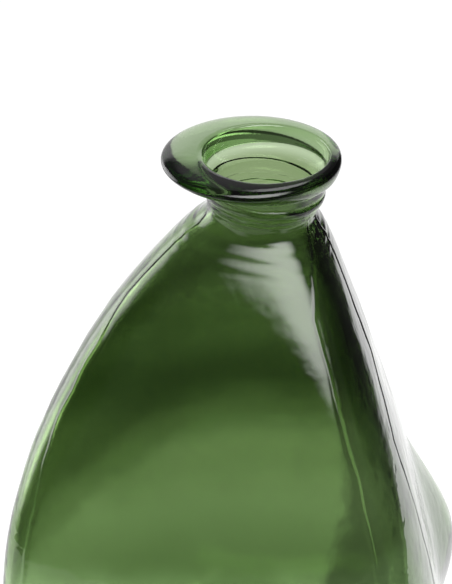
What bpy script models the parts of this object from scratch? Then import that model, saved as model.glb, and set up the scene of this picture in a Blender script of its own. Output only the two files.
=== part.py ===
"""Glass carboy: a squat, soft-cornered blown vessel with a short neck and a thick applied lip.

Metres, +Z up. The resting plane is z = 0 and the origin is under the middle of the vessel's
bounding box. Angles are azimuths in degrees: 0 is +X, 90 is +Y, and the broad panel faces -Y.
"""

import math
from collections import namedtuple

import bmesh
import bpy
from mathutils import Vector

# Heights
TOTAL_HEIGHT = 0.355
NECK_LENGTH = 0.021         # rim down to the seam where the neck is fused to the body
WIDEST_HEIGHT = 0.072       # where the heel meets the sides
PUNT_RISE = 0.006           # how far the middle of the base is pushed up

# Neck and mouth
NECK_RADIUS = 0.0335        # outer radius where the neck meets the body
NECK_FLARE = 0.0012         # how much wider the neck is where the lip starts
MOUTH_RADIUS = 0.0351       # bore at the rim
MOUTH_WALL = 0.0025         # glass left around the bore at the rim
RIM_ROUNDING = 0.0008

# Walls
WALL = 0.0050               # sides, shoulder and neck
BASE_WALL = 0.0085          # base, thinning to WALL at the widest height
FIT_GAP = 0.0003            # between pieces that are fused on the real vessel
GLASS_IOR = 1.52

# Lip
LIP_RADIUS = 0.0502
LIP_THICKNESS = 0.0098
LIP_OFFSET = (-0.0081, 0.0030)      # the lip's middle from the bore's axis
LIP_ROOT = 0.0115           # height of glass where the lip grips the neck
LIP_LEAST = 0.0035          # the least that the lip stands out from the neck
LIP_FULLNESS = 2.5          # 2 is an elliptical nose, more is squarer

# The body's sides. reach is the distance from the neck's axis to the side at the widest height,
# drop is how far below the seam its shoulder starts, and bend and lean shape the slope.
Side = namedtuple("Side", "direction reach drop bend lean")
FRONT = Side(direction=249.0, reach=0.1156, drop=0.0180, bend=1.76, lean=0.92)
FRONT_RIGHT = Side(direction=277.0, reach=0.1584, drop=0.0120, bend=1.90, lean=0.90)
RIGHT = Side(direction=339.0, reach=0.1350, drop=0.0080, bend=1.52, lean=1.01)
REAR_RIGHT = Side(direction=4.0, reach=0.1050, drop=0.0080, bend=1.45, lean=1.30)
REAR = Side(direction=80.0, reach=0.0990, drop=0.0080, bend=2.15, lean=0.94)
REAR_LEFT = Side(direction=140.0, reach=0.1120, drop=0.0030, bend=2.40, lean=0.77)
LEFT = Side(direction=177.0, reach=0.1626, drop=0.0030, bend=1.89, lean=0.99)
SIDES = (FRONT, FRONT_RIGHT, RIGHT, REAR_RIGHT, REAR, REAR_LEFT, LEFT)

ROUND = 2.0                 # exponent of a circular section
CORNERS = 8.5               # exponent of the body's section: more is sharper
CORNER_DEPTH = 0.100        # drop over which the corners form
COLLAR_DEPTH = 0.030        # drop over which the neck's circle lets go
FOOT_SHARE = 0.62           # the foot's outline beside the widest outline
PUNT_SHARE = 0.86           # the punt's edge beside the foot's outline

# The bulge low on the right, behind the pinched side
LOBE_DIRECTION = 28.0
LOBE_REACH = 0.0242
LOBE_WIDTH = 28.0           # degrees to either side
LOBE_TOP = 0.142
LOBE_RISE = 0.090

# How finely the pieces are made
SEGMENTS = 64
PUNT_RINGS = 5
HEEL_RINGS = 7
SIDE_RINGS = 17
NECK_RINGS = 9
LIP_NOSE_RINGS = 12
LIP_GRIP_RINGS = 3
CENTRE_SHARE = 0.08         # size of the small face that closes the base
SHARP_ANGLE = 40.0          # edges sharper than this stay crisp when shaded

SEAM_HEIGHT = TOTAL_HEIGHT - NECK_LENGTH


def smooth(x):
    """0 below 0, 1 above 1 and a soft step between."""
    x = min(max(x, 0.0), 1.0)
    return x * x * (3.0 - 2.0 * x)


def around():
    """The azimuths of one ring's points, in radians."""
    return [2.0 * math.pi * i / SEGMENTS for i in range(SEGMENTS)]


def side_reach(side, z):
    """Distance from the neck's axis to a side's plane at height z."""
    top = SEAM_HEIGHT - side.drop
    share = min(max((z - WIDEST_HEIGHT) / (top - WIDEST_HEIGHT), 0.0), 1.0)
    return NECK_RADIUS + (side.reach - NECK_RADIUS) * (1.0 - share**side.bend) ** side.lean


def heel_share(z):
    """How far the heel is tucked in at height z, as an elliptical quarter turn."""
    below = min(max((WIDEST_HEIGHT - z) / WIDEST_HEIGHT, 0.0), 1.0)
    return FOOT_SHARE + (1.0 - FOOT_SHARE) * math.sqrt(1.0 - below**2)


def body_radius(angle, z):
    """Outer radius of the body about the neck's axis: flat sides with rounded corners."""
    power = ROUND + (CORNERS - ROUND) * smooth((SEAM_HEIGHT - z) / CORNER_DEPTH)
    total = 0.0
    for side in SIDES:
        facing = max(0.0, math.cos(angle - math.radians(side.direction)))
        total += (facing / side_reach(side, z)) ** power
    cornered = total ** (-1.0 / power)
    let_go = smooth((SEAM_HEIGHT - z) / COLLAR_DEPTH)
    away = (math.degrees(angle) - LOBE_DIRECTION + 180.0) % 360.0 - 180.0
    lobe = LOBE_REACH * math.exp(-((away / LOBE_WIDTH) ** 2)) * smooth((LOBE_TOP - z) / LOBE_RISE)
    return heel_share(z) * (NECK_RADIUS + let_go * (cornered - NECK_RADIUS) + lobe)


def ring(radius_at, z):
    """A level ring of points about the neck's axis, whose radius depends on the azimuth."""
    points = []
    for angle in around():
        radius = radius_at(angle)
        points.append(Vector((radius * math.cos(angle), radius * math.sin(angle), z)))
    return points


def scaled_ring(points, share, z):
    """A ring drawn in towards its own middle and set at height z."""
    middle = sum(points, Vector()) / len(points)
    return [Vector((*(middle + (p - middle) * share).xy, z)) for p in points]


def body_skin():
    """The body's outer rings, from the middle of the base out and up to the seam."""
    foot = ring(lambda angle: body_radius(angle, 0.0), 0.0)
    rings = []
    for i in range(PUNT_RINGS):
        share = CENTRE_SHARE + (PUNT_SHARE - CENTRE_SHARE) * i / (PUNT_RINGS - 1)
        rise = PUNT_RISE * (1.0 - smooth(share / PUNT_SHARE))
        rings.append(scaled_ring(foot, share, rise))
    rings.append(foot)
    for i in range(1, HEEL_RINGS + 1):
        z = WIDEST_HEIGHT * (1.0 - math.cos(0.5 * math.pi * i / HEEL_RINGS))
        rings.append(ring(lambda angle, z=z: body_radius(angle, z), z))
    for i in range(1, SIDE_RINGS + 1):
        share = math.sin(0.5 * math.pi * i / SIDE_RINGS)
        z = WIDEST_HEIGHT + (SEAM_HEIGHT - WIDEST_HEIGHT) * share
        rings.append(ring(lambda angle, z=z: body_radius(angle, z), z))
    return rings


def inner_skin(rings, thickness_at):
    """The rings set in from the skin by a thickness that depends on the height."""
    inner = []
    for j, points in enumerate(rings):
        below = rings[max(j - 1, 0)]
        above = rings[min(j + 1, len(rings) - 1)]
        moved = []
        for i, p in enumerate(points):
            along = points[(i + 1) % SEGMENTS] - points[i - 1]
            outward = along.cross(above[i] - below[i]).normalized()
            moved.append(p - outward * thickness_at(p.z))
        inner.append(moved)
    return inner


def body_thickness(z):
    """The body's wall at height z."""
    return WALL + (BASE_WALL - WALL) * smooth(1.0 - z / WIDEST_HEIGHT)


def loft(name, rings, closed):
    """A solid through the rings. A closed one joins its last ring to its first."""
    mesh = bpy.data.meshes.new(name)
    bm = bmesh.new()
    loops = [[bm.verts.new(p) for p in points] for points in rings]
    pairs = list(zip(loops, loops[1:]))
    if closed:
        pairs.append((loops[-1], loops[0]))
    else:
        bm.faces.new(loops[0])
        bm.faces.new(loops[-1])
    for lower, upper in pairs:
        for i in range(SEGMENTS):
            bm.faces.new((lower[i - 1], lower[i], upper[i], upper[i - 1]))
    bmesh.ops.recalc_face_normals(bm, faces=bm.faces)
    bm.to_mesh(mesh)
    bm.free()
    mesh.shade_smooth()
    mesh.set_sharp_from_angle(angle=math.radians(SHARP_ANGLE))
    return bpy.data.objects.new(name, mesh)


def make_body():
    """The blown vessel: base, sides and shoulder, open at the seam under the neck."""
    outer = body_skin()
    inner = inner_skin(outer, body_thickness)
    inner[-1] = ring(lambda angle: NECK_RADIUS - WALL, SEAM_HEIGHT)
    return loft("body", outer + inner[::-1], closed=False)


def neck_outer_radius(z):
    """The neck's outer radius: a waist, a soft flare to the lip's root, then a cone to the rim."""
    root = TOTAL_HEIGHT - LIP_ROOT
    waist_to_root = smooth((z - SEAM_HEIGHT) / (root - SEAM_HEIGHT))
    radius = NECK_RADIUS + NECK_FLARE * waist_to_root
    rim_radius = MOUTH_RADIUS + MOUTH_WALL
    in_lip = max(0.0, (z - root) / LIP_ROOT)
    return radius + (rim_radius - NECK_RADIUS - NECK_FLARE) * in_lip


def neck_bore_radius(z):
    """The bore, opening from the throat to the mouth."""
    share = (z - SEAM_HEIGHT) / NECK_LENGTH
    return NECK_RADIUS - WALL + (MOUTH_RADIUS - NECK_RADIUS + WALL) * smooth(share)


def make_neck():
    """The neck: a short tube from the seam to the rim, inside the lip."""
    low = SEAM_HEIGHT + FIT_GAP
    high = TOTAL_HEIGHT - RIM_ROUNDING
    heights = [low + (high - low) * i / NECK_RINGS for i in range(NECK_RINGS + 1)]
    rim = neck_outer_radius(TOTAL_HEIGHT) - RIM_ROUNDING
    rings = [ring(lambda angle, z=z: neck_outer_radius(z), z) for z in heights]
    rings.append(ring(lambda angle: rim, TOTAL_HEIGHT))
    rings.append(ring(lambda angle: MOUTH_RADIUS + RIM_ROUNDING, TOTAL_HEIGHT))
    rings += [ring(lambda angle, z=z: neck_bore_radius(z), z) for z in reversed(heights)]
    return loft("neck", rings, closed=True)


def lip_reach(angle):
    """Distance from the bore's axis to the lip's round outer edge, whose middle is off the axis."""
    least = grip_radius(TOTAL_HEIGHT) + LIP_LEAST
    along = LIP_OFFSET[0] * math.cos(angle) + LIP_OFFSET[1] * math.sin(angle)
    across = LIP_OFFSET[1] * math.cos(angle) - LIP_OFFSET[0] * math.sin(angle)
    return max(along + math.sqrt(LIP_RADIUS**2 - across**2), least)


def grip_radius(z):
    """The lip's inner radius at height z, just clear of the neck."""
    return neck_outer_radius(z) + FIT_GAP


def make_lip():
    """The applied lip: a thick ring wrapped round the neck's end, wider on the left."""
    top = TOTAL_HEIGHT - RIM_ROUNDING
    middle = top - 0.5 * LIP_THICKNESS
    root = TOTAL_HEIGHT - LIP_ROOT
    soften = 2.0 / LIP_FULLNESS
    rings = []
    for i in range(LIP_NOSE_RINGS + 1):
        turn = math.pi * (0.5 - i / LIP_NOSE_RINGS)
        out = math.cos(turn) ** soften if 0 < i < LIP_NOSE_RINGS else 0.0
        depth = top - middle if turn > 0 else middle - root
        z = middle + math.copysign(depth * abs(math.sin(turn)) ** soften, turn)

        def nose(angle, out=out, z=z):
            return grip_radius(z) + (lip_reach(angle) - grip_radius(middle)) * out

        rings.append(ring(nose, z))
    for i in range(1, LIP_GRIP_RINGS):
        z = root + (top - root) * i / LIP_GRIP_RINGS
        rings.append(ring(lambda angle, z=z: grip_radius(z), z))
    return loft("lip_ring", rings, closed=True)


def glass(name, colour, roughness):
    """Tinted glass."""
    material = bpy.data.materials.new(name)
    material.use_nodes = True
    shader = material.node_tree.nodes["Principled BSDF"]
    shader.inputs["Base Color"].default_value = (*colour, 1.0)
    shader.inputs["Roughness"].default_value = roughness
    shader.inputs["Metallic"].default_value = 0.0
    shader.inputs["IOR"].default_value = GLASS_IOR
    shader.inputs["Transmission Weight"].default_value = 1.0
    return material


def footprint_middle(objects):
    """The middle of the bounding box of all the pieces, on the resting plane."""
    xs = [v.co.x for o in objects for v in o.data.vertices]
    ys = [v.co.y for o in objects for v in o.data.vertices]
    return Vector((0.5 * (min(xs) + max(xs)), 0.5 * (min(ys) + max(ys)), 0.0))


def main():
    for old in list(bpy.data.objects):
        bpy.data.objects.remove(old, do_unlink=True)
    pieces = {
        make_body(): glass("body_glass", (0.070, 0.155, 0.035), 0.03),
        make_neck(): glass("neck_glass", (0.060, 0.130, 0.030), 0.03),
        make_lip(): glass("lip_glass", (0.045, 0.085, 0.028), 0.02),
    }
    carboy = bpy.data.objects.new("carboy", None)
    carboy.location = -footprint_middle(pieces)
    bpy.context.scene.collection.objects.link(carboy)
    for piece, material in pieces.items():
        bpy.context.scene.collection.objects.link(piece)
        piece.data.materials.append(material)
        piece.parent = carboy


main()
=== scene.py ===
"""Glass carboy: the looks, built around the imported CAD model.

One closed skin of bottle-green glass replaces the CAD model's body, neck and lip, which are fused on
the real vessel. It has the CAD model's form but for a shorter collar and a rounder lip, and adds what
the CAD model leaves out: the tool rings and the pinched waist of the neck, the mould seams and the
mould's ripple. Lengths are in metres, +Z up. Azimuths are in degrees: 0 is +X, 90 is +Y.
"""

import math

import bpy
import numpy as np
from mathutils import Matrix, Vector, noise


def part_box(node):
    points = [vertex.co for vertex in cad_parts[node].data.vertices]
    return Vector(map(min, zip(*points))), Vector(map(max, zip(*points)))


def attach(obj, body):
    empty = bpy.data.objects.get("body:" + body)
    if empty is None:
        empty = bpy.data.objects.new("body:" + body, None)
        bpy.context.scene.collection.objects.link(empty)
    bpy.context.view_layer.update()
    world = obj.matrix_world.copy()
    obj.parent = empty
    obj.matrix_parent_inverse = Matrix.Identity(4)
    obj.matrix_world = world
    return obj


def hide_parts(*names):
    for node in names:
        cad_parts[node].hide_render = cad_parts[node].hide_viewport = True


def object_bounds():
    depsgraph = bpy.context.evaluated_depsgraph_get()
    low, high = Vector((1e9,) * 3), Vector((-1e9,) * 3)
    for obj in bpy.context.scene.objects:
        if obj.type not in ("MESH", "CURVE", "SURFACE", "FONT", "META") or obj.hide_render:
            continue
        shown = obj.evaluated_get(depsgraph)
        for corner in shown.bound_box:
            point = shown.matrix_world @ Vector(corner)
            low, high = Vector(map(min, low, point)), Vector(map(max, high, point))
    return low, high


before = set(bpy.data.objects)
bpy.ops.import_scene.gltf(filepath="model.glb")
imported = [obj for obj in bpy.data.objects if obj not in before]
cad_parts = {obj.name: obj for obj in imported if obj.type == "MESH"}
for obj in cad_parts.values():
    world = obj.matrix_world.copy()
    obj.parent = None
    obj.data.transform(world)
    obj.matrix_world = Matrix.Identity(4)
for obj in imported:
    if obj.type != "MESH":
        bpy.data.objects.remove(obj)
CAD_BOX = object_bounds()

# Places read from the frame. The neck is round about its own axis, off the vessel's middle.
BODY_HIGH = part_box("body")[1]
NECK_LOW, NECK_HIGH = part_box("neck")
AXIS = 0.5 * (NECK_LOW + NECK_HIGH)
TOTAL_HEIGHT = CAD_BOX[1][2]
SEAM_HEIGHT = BODY_HIGH.z

# The form. These are the CAD model's sizes, except CENTRE_SHARE, COLLAR_DEPTH and the lip's and the
# rim's rounding.
WIDEST_HEIGHT = 0.072
FOOT_SHARE = 0.62
PUNT_SHARE = 0.86
PUNT_RISE = 0.006
CENTRE_SHARE = 0.03
NECK_RADIUS = 0.0335
NECK_FLARE = 0.0012
MOUTH_RADIUS = 0.0351
WALL = 0.0050
BASE_WALL = 0.0085
LIP_RADIUS = 0.0502
LIP_THICKNESS = 0.0098
LIP_OFFSET = (-0.0081, 0.0030)
LIP_ROOT = 0.0115
LIP_FULLNESS = 2.4
LIP_UNDER_FULLNESS = 1.7
LIP_FILLET = 0.0042
RIM_DROP = 0.0006
ROUND = 2.0
CORNERS = 8.5
CORNER_DEPTH = 0.100
COLLAR_DEPTH = 0.026
LOBE_DIRECTION = math.radians(28.0)
LOBE_REACH = 0.0242
LOBE_WIDTH = math.radians(28.0)
LOBE_TOP = 0.142
LOBE_RISE = 0.090
# direction, reach at the widest height, drop of the shoulder under the seam, bend and lean
SIDES = (
    (249.0, 0.1156, 0.0180, 1.76, 0.92),
    (277.0, 0.1584, 0.0120, 1.90, 0.90),
    (339.0, 0.1350, 0.0080, 1.52, 1.01),
    (4.0, 0.1050, 0.0080, 1.45, 1.30),
    (80.0, 0.0990, 0.0080, 2.15, 0.94),
    (140.0, 0.1120, 0.0030, 2.40, 0.77),
    (177.0, 0.1626, 0.0030, 1.89, 0.99),
)

# Rings pressed into the neck: height, depth (a groove is negative) and half width
TOOL_RINGS = (
    (0.3360, -0.00070, 0.0007),
    (0.3318, 0.00050, 0.0030),
    (0.3278, -0.00090, 0.0008),
    (0.3262, 0.00045, 0.0007),
    (0.3242, -0.00075, 0.0008),
    (0.3120, -0.00045, 0.0013),
    (0.3082, 0.00035, 0.0009),
    (0.3050, -0.00030, 0.0008),
    (0.3020, 0.00022, 0.0008),
    (0.2990, -0.00015, 0.0008),
)
RING_TILT = 0.075           # the rings climb to the left by this much per metre
WAIST = (0.318, -0.0023, 0.0065)    # height, depth and half width of the pinch on the right

# Mould seams: their azimuth about the neck's axis from the widest height up to the collar
LEFT_SEAM = ((0.10, 204.0), (0.157, 203.0), (0.20, 200.0), (0.25, 198.0), (0.277, 192.5), (0.304, 191.0))
RIGHT_SEAM = ((0.10, 298.0), (0.195, 296.0), (0.243, 294.0), (0.283, 294.0), (0.300, 303.0), (0.316, 323.0))
BACK_SEAM = ((0.10, 328.0), (0.159, 326.0), (0.20, 325.0), (0.224, 338.0), (0.235, 349.0), (0.295, 358.0))
SEAM_RISE = 0.00050
SEAM_WIDTH = 0.0010
SEAM_FOOT = 0.04            # where the seams start, and how long they take to rise
SEAM_FOOT_RISE = 0.04
SEAM_STOP = 0.004           # how far below the neck they end, and how long they take to fall
SEAM_STOP_FALL = 0.012
SEAM_WANDER = 0.5
SEAM_WANDERS = 60.0         # wanders to a metre

# How much green light the skin lets through, by height, with painted shade: least in a painted shade band
# under the shoulder, lighter towards the base and at the lip. This is a look, not a modelled thickness.
TINT_AND_SHADE_STOPS = (
    (0.000, 0.96),
    (0.100, 0.94),
    (0.128, 0.60),
    (0.155, 0.33),
    (0.185, 0.36),
    (0.215, 0.28),
    (0.255, 0.140),
    (0.280, 0.26),
    (0.300, 0.37),
    (0.335, 0.42),
    (0.346, 0.80),
)
SHADE_BAND_SLOPE = 0.22           # the bands of tint and painted shade sink to the left by this much per metre
SHADE_BAND_WANDER = 0.020
SHADE_BAND_LEVELS = (0.290, 0.325)        # between these heights the slanting bands turn level

# Painted shade on the darker side: its azimuth, how far it reaches either way, its soft edge and what it lets
# through
PAINTED_SHADE_SIDE = 4.0
PAINTED_SHADE_REACH = 54.0
PAINTED_SHADE_EDGE = 4.0
PAINTED_SHADE_SHARE = 0.42
PAINTED_SHADE_ENDS = (0.306, 0.322)          # it fades out between these heights

# The lip's skin: its tint behind and its tint darkened by painted shade in front, and the azimuth of the
# painted shade's middle
LIP_SHARE = 0.64
LIP_SHADED_FRONT_SHARE = 0.10
LIP_SHADED_FRONT = 282.0
LIP_SHADED_FRONT_EDGE = (-0.10, 0.22)      # cosines of the angle from that middle
LIP_STARTS = (0.3415, 0.3440)       # the lip's tint sets in between these heights
LIP_INNER_EDGE = (-0.0002, 0.0012)  # and between these distances from the mouth's edge

# The glass itself
GLASS_IOR = 1.52
DEPTH_COLOUR = (0.27, 0.56, 0.04, 1.0)
DEPTH_DENSITY = 70.0
CLOUD_SCALE = 11.0
CLOUD_DETAIL = 3.0
GRAIN_SCALE = 260.0
GRAIN_DETAIL = 2.0
GRAIN_STRENGTH = 0.35
GRAIN_DEPTH = 0.00010

# The table top
FLOOR_RADIUS = 0.46
FLOOR_SIDES = 96
FLOOR_DROP = 0.0005
FLOOR_GREY = 0.3
FLOOR_ROUGHNESS = 0.8
FLOOR_PAINTED_GLOW = (0.04, 0.82)           # painted light: it glows faintly in front and brightly behind
FLOOR_PAINTED_GLOW_PLACE = (-0.16, 0.07)    # the glow grows between these distances back

# The studio, painted one over the other: brightness, the azimuth and elevation of the middle, and the
# degrees from it within which the patch is full and beyond which it is gone
FRONT_GREY = 0.10
STUDIO = (
    (1.05, (90, -25), 50, 57),      # white sweep behind
    (0.04, (22, -6), 38, 46),       # black flag on the right
    (3.2, (146, 2), 14, 28),        # light at the left rear
    (0.04, (190, 10), 18, 26),      # black flag on the left
    (1.05, (90, -90), 62, 70),      # white below
    (0.06, (270, -32), 22, 36),     # dark in front and below
    (4.0, (258, 54), 6, 26),        # two softboxes in front and above
    (7.5, (285, 55), 4, 33),
    (0.35, (90, 44), 12, 20),       # grey behind and above
    (3.0, (75, 57), 5, 12),         # small light behind and above
)

# The camera, from the neck's axis
CAMERA_ACROSS = 0.0221
CAMERA_BACK = 1.1046
CAMERA_HEIGHT = 0.9170
CAMERA_TILT = 59.5
CAMERA_LENS = 179.2
CAMERA_SENSOR = 36.0

TRANSMISSION_BOUNCES = 20
GLOSSY_BOUNCES = 8

# The ripple left by the mould: the size of each and how deep it is, and where it fades
RIPPLES = ((0.0040, 0.00004), (0.0080, 0.00010), (0.0180, 0.00014), (0.0450, 0.00035))
RIPPLE_FOOT = 0.03
RIPPLE_FOOT_RISE = 0.04
RIPPLE_TOP = 0.315
RIPPLE_TOP_FALL = 0.03

# How finely the skin is made
PUNT_RINGS = 14
HEEL_RINGS = 30
SIDE_RINGS = 230
NECK_RINGS = 60
LIP_RINGS = 56
BORE_RINGS = 40
SEGMENTS = 480
CROWDED = ((198.0, 10.0, 2.5), (299.0, 12.0, 2.0), (338.0, 16.0, 2.0))     # azimuth, spread, extra


def crowded_angles():
    """Azimuths round the vessel, closer together where the seams run."""
    fine = np.linspace(0.0, 360.0, 7201)
    density = np.ones(fine.size)
    for azimuth, spread, extra in CROWDED:
        density += extra * np.exp(-(((fine - azimuth) / spread) ** 2))
    count = np.concatenate([[0.0], np.cumsum(0.5 * (density[1:] + density[:-1]))])
    return np.radians(np.interp(np.arange(SEGMENTS) * count[-1] / SEGMENTS, count, fine))


ANGLES = crowded_angles()


def smooth(x):
    """0 below 0, 1 above 1 and a soft step between."""
    x = np.clip(x, 0.0, 1.0)
    return x * x * (3.0 - 2.0 * x)


def bell(x):
    return np.exp(-(x * x))


def side_reach(side, z):
    """Distance from the neck's axis to a side's plane at height z."""
    _, reach, drop, bend, lean = side
    top = SEAM_HEIGHT - drop
    share = min(max((z - WIDEST_HEIGHT) / (top - WIDEST_HEIGHT), 0.0), 1.0)
    return NECK_RADIUS + (reach - NECK_RADIUS) * (1.0 - share**bend) ** lean


def heel_share(z):
    """How far the heel is tucked in at height z."""
    below = min(max((WIDEST_HEIGHT - z) / WIDEST_HEIGHT, 0.0), 1.0)
    return FOOT_SHARE + (1.0 - FOOT_SHARE) * math.sqrt(1.0 - below**2)


def body_radius(z):
    """Outer radius of the body at every azimuth."""
    power = ROUND + (CORNERS - ROUND) * smooth((SEAM_HEIGHT - z) / CORNER_DEPTH)
    total = np.zeros(SEGMENTS)
    for side in SIDES:
        facing = np.maximum(0.0, np.cos(ANGLES - math.radians(side[0])))
        total += (facing / side_reach(side, z)) ** power
    cornered = total ** (-1.0 / power)
    let_go = smooth((SEAM_HEIGHT - z) / COLLAR_DEPTH)
    away = (ANGLES - LOBE_DIRECTION + math.pi) % (2.0 * math.pi) - math.pi
    lobe = LOBE_REACH * bell(away / LOBE_WIDTH) * smooth((LOBE_TOP - z) / LOBE_RISE)
    return heel_share(z) * (NECK_RADIUS + let_go * (cornered - NECK_RADIUS) + lobe)


def neck_detail(z):
    """What the tool rings and the pinched waist add to the radius at every azimuth."""
    level = z + RING_TILT * NECK_RADIUS * np.cos(ANGLES)
    added = sum(depth * bell((level - height) / width) for height, depth, width in TOOL_RINGS)
    height, depth, width = WAIST
    return added + depth * bell((z - height) / width) * np.maximum(0.0, np.cos(ANGLES)) ** 2


def seam_detail(z):
    """How far the mould seams stand up at every azimuth."""
    fade = smooth((z - SEAM_FOOT) / SEAM_FOOT_RISE) * smooth((SEAM_HEIGHT - SEAM_STOP - z) / SEAM_STOP_FALL)
    added = np.zeros(SEGMENTS)
    radius = body_radius(z)
    for seam in (LEFT_SEAM, RIGHT_SEAM, BACK_SEAM):
        heights, azimuths = zip(*seam)
        wander = SEAM_WANDER * noise.noise((z * SEAM_WANDERS, azimuths[0], 0.0))
        azimuth = math.radians(np.interp(z, heights, azimuths) + wander)
        away = (ANGLES - azimuth + math.pi) % (2.0 * math.pi) - math.pi
        added += SEAM_RISE * bell(away * radius / SEAM_WIDTH)
    return added * fade


def ring(radius, z):
    """A ring of points about the neck's axis."""
    r = np.broadcast_to(radius, SEGMENTS)
    h = np.broadcast_to(z, SEGMENTS)
    return np.stack([AXIS.x + r * np.cos(ANGLES), AXIS.y + r * np.sin(ANGLES), h], axis=1)


def scaled_ring(points, share, z):
    """A ring drawn in towards its own middle."""
    middle = points.mean(axis=0)
    moved = middle + (points - middle) * share
    moved[:, 2] = z
    return moved


def body_rings(side_rings, detail):
    """The body's rings from the middle of the base up to the seam."""
    foot = ring(body_radius(0.0), 0.0)
    rings = []
    for i in range(PUNT_RINGS):
        share = CENTRE_SHARE + (PUNT_SHARE - CENTRE_SHARE) * i / (PUNT_RINGS - 1)
        rings.append(scaled_ring(foot, share, PUNT_RISE * (1.0 - smooth(share / PUNT_SHARE))))
    rings.append(foot)
    for i in range(1, HEEL_RINGS + 1):
        z = WIDEST_HEIGHT * (1.0 - math.cos(0.5 * math.pi * i / HEEL_RINGS))
        rings.append(ring(body_radius(z), z))
    for i in range(1, side_rings + 1):
        z = WIDEST_HEIGHT + (SEAM_HEIGHT - WIDEST_HEIGHT) * i / side_rings
        rings.append(ring(body_radius(z) + (neck_detail(z) + seam_detail(z)) * detail, z))
    return rings


def lip_reach():
    """Distance from the bore's axis to the lip's outer edge, whose middle is off the axis."""
    along = LIP_OFFSET[0] * np.cos(ANGLES) + LIP_OFFSET[1] * np.sin(ANGLES)
    across = LIP_OFFSET[1] * np.cos(ANGLES) - LIP_OFFSET[0] * np.sin(ANGLES)
    return along + np.sqrt(LIP_RADIUS**2 - across**2)


def lip_rings():
    """Rings up the neck, round the lip and over to the mouth."""
    rings = []
    root = TOTAL_HEIGHT - LIP_ROOT
    for i in range(1, NECK_RINGS + 1):
        z = SEAM_HEIGHT + (root - SEAM_HEIGHT) * i / NECK_RINGS
        fillet = LIP_FILLET * (1.0 - math.sqrt(1.0 - max(0.0, 1.0 - (root - z) / LIP_FILLET) ** 2))
        radius = NECK_RADIUS + NECK_FLARE * smooth(i / NECK_RINGS) + fillet
        rings.append(ring(radius + neck_detail(z), z))
    low_radius = NECK_RADIUS + NECK_FLARE + LIP_FILLET
    middle = TOTAL_HEIGHT - 0.5 * LIP_THICKNESS
    reach = lip_reach()
    for i in range(1, LIP_RINGS + 1):
        turn = math.pi * (i / LIP_RINGS - 0.5)
        soften = 2.0 / (LIP_FULLNESS if turn > 0 else LIP_UNDER_FULLNESS)
        out = max(0.0, math.cos(turn)) ** soften
        depth = TOTAL_HEIGHT - middle if turn > 0 else middle - root
        z = middle + math.copysign(depth * abs(math.sin(turn)) ** soften, turn)
        inner = low_radius + (MOUTH_RADIUS - low_radius) * smooth(i / LIP_RINGS)
        drop = RIM_DROP if i == LIP_RINGS else 0.0
        rings.append(ring(inner + (reach - inner) * out, z - drop))
    return rings


def bore_rings():
    """Rings from the mouth down the bore to the seam."""
    top = TOTAL_HEIGHT - RIM_DROP
    rings = []
    for i in range(1, BORE_RINGS + 1):
        share = i / BORE_RINGS
        z = top - (top - SEAM_HEIGHT) * share
        rings.append(ring(MOUTH_RADIUS + (NECK_RADIUS - WALL - MOUTH_RADIUS) * smooth(share), z))
    return rings


def outward(grid):
    """The way out of the glass at each point of a grid of rings that climbs the outside."""
    along = np.roll(grid, -1, axis=1) - np.roll(grid, 1, axis=1)
    up = np.empty_like(grid)
    up[1:-1] = grid[2:] - grid[:-2]
    up[0] = grid[1] - grid[0]
    up[-1] = grid[-1] - grid[-2]
    normal = np.cross(along, up)
    return normal / np.linalg.norm(normal, axis=2, keepdims=True)


def inner_rings(rings):
    """The body's rings set in by the wall, which thickens towards the base."""
    grid = np.array(rings)
    thick = WALL + (BASE_WALL - WALL) * smooth(1.0 - grid[:, :, 2:] / WIDEST_HEIGHT)
    inner = list(grid - outward(grid) * thick)
    inner[-1] = ring(NECK_RADIUS - WALL, SEAM_HEIGHT)
    return inner


def rippled(rings):
    """The rings with the mould's ripple pressed into them."""
    grid = np.array(rings)
    normal = outward(grid)
    height = grid[:, :, 2]
    fade = smooth((height - RIPPLE_FOOT) / RIPPLE_FOOT_RISE) * smooth((RIPPLE_TOP - height) / RIPPLE_TOP_FALL)
    for size, depth in RIPPLES:
        for j in np.nonzero(fade.max(axis=1) > 0.0)[0]:
            push = np.array([noise.noise(Vector(p) / size) for p in grid[j]])
            grid[j] += normal[j] * (depth * push * fade[j])[:, None]
    return list(grid)


def glass_mesh():
    """One closed skin: up the outside, over the lip, down the bore and the inside."""
    outside = rippled(body_rings(SIDE_RINGS, 1.0))
    inside = inner_rings(body_rings(SIDE_RINGS // 2, 0.0))
    grid = np.array(outside + lip_rings() + bore_rings() + inside[-2::-1])
    for axis in (0, 1):
        widest = np.abs(grid[:, :, axis]).max()
        grid[:, :, axis] *= min(1.0, CAD_BOX[1][axis] / widest)
    rows = len(grid)
    index = np.arange(rows * SEGMENTS).reshape(rows, SEGMENTS)
    right = np.roll(index, -1, axis=1)
    quads = np.stack([index[:-1], right[:-1], right[1:], index[1:]], axis=2).reshape(-1, 4)
    faces = quads.tolist()
    faces.append(index[0][::-1].tolist())
    faces.append(index[-1].tolist())
    mesh = bpy.data.meshes.new("vessel_glass")
    mesh.from_pydata(grid.reshape(-1, 3).tolist(), [], faces)
    mesh.shade_smooth()
    return mesh


def direction(azimuth, elevation):
    """The unit vector towards an azimuth and an elevation, in degrees."""
    a, e = math.radians(azimuth), math.radians(elevation)
    return (math.cos(e) * math.cos(a), math.cos(e) * math.sin(a), math.sin(e))


def new_node(tree, kind, **values):
    """A shader node with its properties set."""
    node = tree.nodes.new(kind)
    for name, value in values.items():
        setattr(node, name, value)
    return node


def wall_tint(share):
    """The colour of light that has crossed one wall, of which this share of the green is let through."""
    return (0.92 * share**1.15, share, 0.88 * share**1.45)


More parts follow.
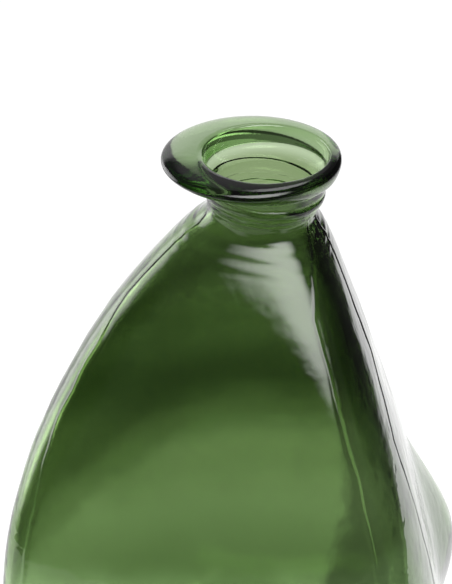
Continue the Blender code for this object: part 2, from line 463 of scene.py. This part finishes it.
def soft_step(tree, value, start, end, low=0.0, high=1.0):
    """Low up to start, high from end on and a soft step between."""
    step = new_node(tree, "ShaderNodeMapRange", interpolation_type="SMOOTHSTEP")
    step.inputs["From Min"].default_value = start
    step.inputs["From Max"].default_value = end
    step.inputs["To Min"].default_value = low
    step.inputs["To Max"].default_value = high
    tree.links.new(value, step.inputs["Value"])
    return step.outputs["Result"]


def mixed(tree, share, first, second):
    """The first where the share is 0, the second where it is 1. Each is a socket or a number."""
    blend = new_node(tree, "ShaderNodeMix", data_type="FLOAT")
    tree.links.new(share, blend.inputs["Factor"])
    for name, value in (("A", first), ("B", second)):
        if isinstance(value, float):
            blend.inputs[name].default_value = value
        else:
            tree.links.new(value, blend.inputs[name])
    return blend.outputs["Result"]


def vector_step(tree, operation, value, other=None):
    """One vector operation on a socket, and on a fixed vector where it takes two."""
    node = new_node(tree, "ShaderNodeVectorMath", operation=operation)
    tree.links.new(value, node.inputs[0])
    if other is not None:
        node.inputs[1].default_value = other
    return node.outputs


def noise_texture(tree, place, scale, detail):
    """A noise in the vessel's own space."""
    texture = new_node(tree, "ShaderNodeTexNoise")
    texture.inputs["Scale"].default_value = scale
    texture.inputs["Detail"].default_value = detail
    tree.links.new(place, texture.inputs["Vector"])
    return texture.outputs["Fac"]


def tint_and_shade_by_height(tree, place, height):
    """The wall's tint with its painted shade, in slanting bands that wander on the body and turn level at the
    lip.
    """
    links = tree.links
    slope = vector_step(tree, "DOT_PRODUCT", place, (-SHADE_BAND_SLOPE, 0.0, 1.0))["Value"]
    wander = new_node(tree, "ShaderNodeMath", operation="MULTIPLY_ADD")
    wander.inputs[1].default_value = SHADE_BAND_WANDER * 2.0
    wander.inputs[2].default_value = SHADE_BAND_SLOPE * AXIS.x - SHADE_BAND_WANDER
    links.new(noise_texture(tree, place, CLOUD_SCALE, CLOUD_DETAIL), wander.inputs[0])
    tilted = new_node(tree, "ShaderNodeMath", operation="ADD")
    links.new(slope, tilted.inputs[0])
    links.new(wander.outputs[0], tilted.inputs[1])
    chosen = mixed(tree, soft_step(tree, height, *SHADE_BAND_LEVELS), tilted.outputs[0], height)
    share_of_height = new_node(tree, "ShaderNodeMath", operation="DIVIDE")
    share_of_height.inputs[1].default_value = TOTAL_HEIGHT
    links.new(chosen, share_of_height.inputs[0])
    ramp = new_node(tree, "ShaderNodeValToRGB")
    ramp.color_ramp.interpolation = "EASE"
    links.new(share_of_height.outputs[0], ramp.inputs["Fac"])
    while len(ramp.color_ramp.elements) < len(TINT_AND_SHADE_STOPS):
        ramp.color_ramp.elements.new(0.5)
    for element, (stop, share) in zip(ramp.color_ramp.elements, TINT_AND_SHADE_STOPS):
        element.position = stop / TOTAL_HEIGHT
        element.color = (*wall_tint(share), 1.0)
    return ramp.outputs["Color"]


def painted_shade_by_side(tree, place, height):
    """What is left of the tint's light on the darker side and on the lip, under painted shade on that side
    and on the lip's front.
    """
    off_axis = vector_step(tree, "SUBTRACT", place, (AXIS.x, AXIS.y, 0.0))[0]
    level = vector_step(tree, "MULTIPLY", off_axis, (1.0, 1.0, 0.0))[0]
    facing = vector_step(tree, "NORMALIZE", level)[0]

    # Painted shade: on the darker side the tint lets through less, fading out towards the neck
    side = vector_step(tree, "DOT_PRODUCT", facing, direction(PAINTED_SHADE_SIDE, 0.0))["Value"]
    outer = math.cos(math.radians(PAINTED_SHADE_REACH + PAINTED_SHADE_EDGE))
    inner = math.cos(math.radians(PAINTED_SHADE_REACH - PAINTED_SHADE_EDGE))
    dark = soft_step(tree, side, outer, inner, 1.0, PAINTED_SHADE_SHARE)
    body = mixed(tree, soft_step(tree, height, *PAINTED_SHADE_ENDS), dark, 1.0)

    # Painted shade on the lip's front: there the lip's skin lets through much less than behind
    front = vector_step(tree, "DOT_PRODUCT", facing, direction(LIP_SHADED_FRONT, 0.0))["Value"]
    skin = soft_step(tree, front, *LIP_SHADED_FRONT_EDGE, LIP_SHARE, LIP_SHADED_FRONT_SHARE)
    reach = vector_step(tree, "LENGTH", level)["Value"]
    outside = soft_step(tree, reach, *(MOUTH_RADIUS + edge for edge in LIP_INNER_EDGE))
    lip = mixed(tree, outside, 1.0, skin)
    return mixed(tree, soft_step(tree, height, *LIP_STARTS), body, lip)


def glass_material():
    """Bottle-green glass: tinted where light crosses its skin, with painted shade in that tint, and a little
    through its depth.
    """
    material = bpy.data.materials.new("bottle_green_glass_with_painted_shade")
    material.use_nodes = True
    tree = material.node_tree
    links = tree.links
    shader = tree.nodes["Principled BSDF"]
    shader.inputs["Roughness"].default_value = 0.0
    shader.inputs["IOR"].default_value = GLASS_IOR
    shader.inputs["Transmission Weight"].default_value = 1.0

    place = new_node(tree, "ShaderNodeNewGeometry").outputs["Position"]
    split = new_node(tree, "ShaderNodeSeparateXYZ")
    links.new(place, split.inputs[0])
    height = split.outputs["Z"]
    # The base colour: the tint with its painted shade bands, times the painted shade of the side and the
    # lip's front
    tint = new_node(tree, "ShaderNodeVectorMath", operation="SCALE")
    links.new(tint_and_shade_by_height(tree, place, height), tint.inputs[0])
    links.new(painted_shade_by_side(tree, place, height), tint.inputs["Scale"])
    links.new(tint.outputs[0], shader.inputs["Base Color"])

    # The finest grain of the mould
    bump = new_node(tree, "ShaderNodeBump")
    bump.inputs["Strength"].default_value = GRAIN_STRENGTH
    bump.inputs["Distance"].default_value = GRAIN_DEPTH
    links.new(noise_texture(tree, place, GRAIN_SCALE, GRAIN_DETAIL), bump.inputs["Height"])
    links.new(bump.outputs["Normal"], shader.inputs["Normal"])

    volume = new_node(tree, "ShaderNodeVolumeAbsorption")
    volume.inputs["Color"].default_value = DEPTH_COLOUR
    volume.inputs["Density"].default_value = DEPTH_DENSITY
    links.new(volume.outputs[0], tree.nodes["Material Output"].inputs["Volume"])
    return material


vessel = bpy.data.objects.new("vessel_glass", glass_mesh())
bpy.context.scene.collection.objects.link(vessel)
vessel.data.materials.append(glass_material())
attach(vessel, "root")
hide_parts("body", "neck", "lip_ring")


def make_floor():
    """A round pale table top, lit from within by a painted glow that grows towards the back."""
    turns = [2.0 * math.pi * i / FLOOR_SIDES for i in range(FLOOR_SIDES)]
    edge = [(FLOOR_RADIUS * math.cos(t), FLOOR_RADIUS * math.sin(t), 0.0) for t in turns]
    mesh = bpy.data.meshes.new("floor")
    mesh.from_pydata(edge, [], [range(FLOOR_SIDES)])
    floor = bpy.data.objects.new("floor", mesh)
    floor.location.z = -FLOOR_DROP
    bpy.context.scene.collection.objects.link(floor)
    material = bpy.data.materials.new("pale_floor_with_painted_glow")
    material.use_nodes = True
    tree = material.node_tree
    shader = tree.nodes["Principled BSDF"]
    shader.inputs["Base Color"].default_value = (FLOOR_GREY, FLOOR_GREY, FLOOR_GREY, 1.0)
    shader.inputs["Roughness"].default_value = FLOOR_ROUGHNESS
    shader.inputs["Emission Color"].default_value = (1.0, 1.0, 1.0, 1.0)
    place = new_node(tree, "ShaderNodeNewGeometry")
    split = new_node(tree, "ShaderNodeSeparateXYZ")
    tree.links.new(place.outputs["Position"], split.inputs[0])
    # Painted light: the floor's glow grows from front to back
    painted_glow = soft_step(tree, split.outputs["Y"], *FLOOR_PAINTED_GLOW_PLACE, *FLOOR_PAINTED_GLOW)
    tree.links.new(painted_glow, shader.inputs["Emission Strength"])
    floor.data.materials.append(material)


def make_world():
    """The studio round the vessel, arranged for the camera's view."""
    world = bpy.data.worlds.new("studio")
    world.use_nodes = True
    tree = world.node_tree
    towards = new_node(tree, "ShaderNodeTexCoord").outputs["Generated"]
    bright = FRONT_GREY
    for value, centre, inner, outer in STUDIO:
        facing = vector_step(tree, "DOT_PRODUCT", towards, direction(*centre))["Value"]
        fade = soft_step(tree, facing, math.cos(math.radians(outer)), math.cos(math.radians(inner)))
        bright = mixed(tree, fade, bright, value)
    background = tree.nodes["Background"]
    tree.links.new(bright, background.inputs["Color"])
    background.inputs["Strength"].default_value = 1.0
    bpy.context.scene.world = world


def make_camera():
    """The camera, placed from the neck's axis."""
    data = bpy.data.cameras.new("camera")
    data.sensor_fit = "HORIZONTAL"
    data.sensor_width = CAMERA_SENSOR
    data.lens = CAMERA_LENS
    camera = bpy.data.objects.new("camera", data)
    camera.location = (AXIS.x - CAMERA_ACROSS, AXIS.y - CAMERA_BACK, CAMERA_HEIGHT)
    camera.rotation_euler = (math.radians(CAMERA_TILT), 0.0, 0.0)
    bpy.context.scene.collection.objects.link(camera)
    bpy.context.scene.camera = camera


make_floor()
make_world()
make_camera()

scene = bpy.context.scene
scene.view_settings.view_transform = "Standard"
scene.cycles.max_bounces = TRANSMISSION_BOUNCES
scene.cycles.transmission_bounces = TRANSMISSION_BOUNCES
scene.cycles.glossy_bounces = GLOSSY_BOUNCES
